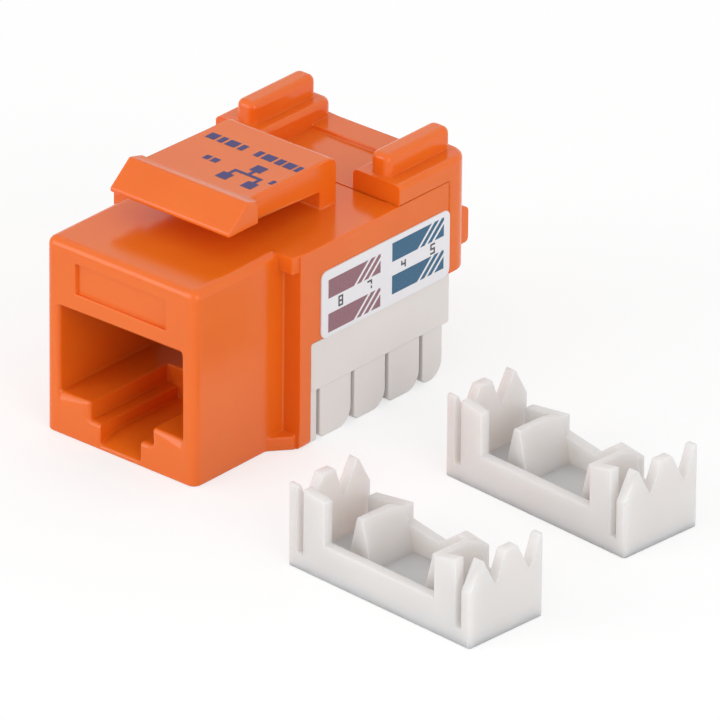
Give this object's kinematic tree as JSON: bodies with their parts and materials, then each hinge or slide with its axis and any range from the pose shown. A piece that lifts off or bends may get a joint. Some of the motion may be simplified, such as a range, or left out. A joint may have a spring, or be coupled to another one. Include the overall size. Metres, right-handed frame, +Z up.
{
  "type": "keystone jack",
  "caption": "Orange snap-in modular network jack with a flexible latch, spring contacts, a white wire-slot block below and its loose white wire caps beside it.",
  "frame": {"origin": "middle of the lower front edge of the front block, the edge that hooks into a panel", "axes": "+X to the right seen from the front, +Y from the port to the back, +Z up to the latch"},
  "size_m": [0.0473, 0.0351, 0.0198],
  "materials": {
    "orange_plastic": "moulded, half gloss",
    "wire_block_plastic": "moulded, fine satin, warm off-white",
    "cap_plastic": "moulded, slightly translucent, cool off-white",
    "carrier_plastic": "moulded, satin, dark orange",
    "board_laminate": "green solder mask",
    "gold_contact": "gold plated spring wire",
    "tinned_contact": "tin plated sheet bronze",
    "label_sheet": "printed film, matt"
  },
  "bodies": {
    "root": {"front_housing": "orange_plastic", "rear_cover": "orange_plastic", "idc_block": "wire_block_plastic", "circuit_board": "board_laminate", "contact_carrier": "carrier_plastic", "contact_wire_1": "gold_contact", "contact_wire_2": "gold_contact", "contact_wire_3": "gold_contact", "contact_wire_4": "gold_contact", "contact_wire_5": "gold_contact", "contact_wire_6": "gold_contact", "contact_wire_7": "gold_contact", "contact_wire_8": "gold_contact", "idc_contact_1": "tinned_contact", "idc_contact_2": "tinned_contact", "idc_contact_3": "tinned_contact", "idc_contact_4": "tinned_contact", "idc_contact_5": "tinned_contact", "idc_contact_6": "tinned_contact", "idc_contact_7": "tinned_contact", "idc_contact_8": "tinned_contact", "side_label": "label_sheet", "wire_cap_front": "cap_plastic", "wire_cap_rear": "cap_plastic"}
  },
  "joints": []
}
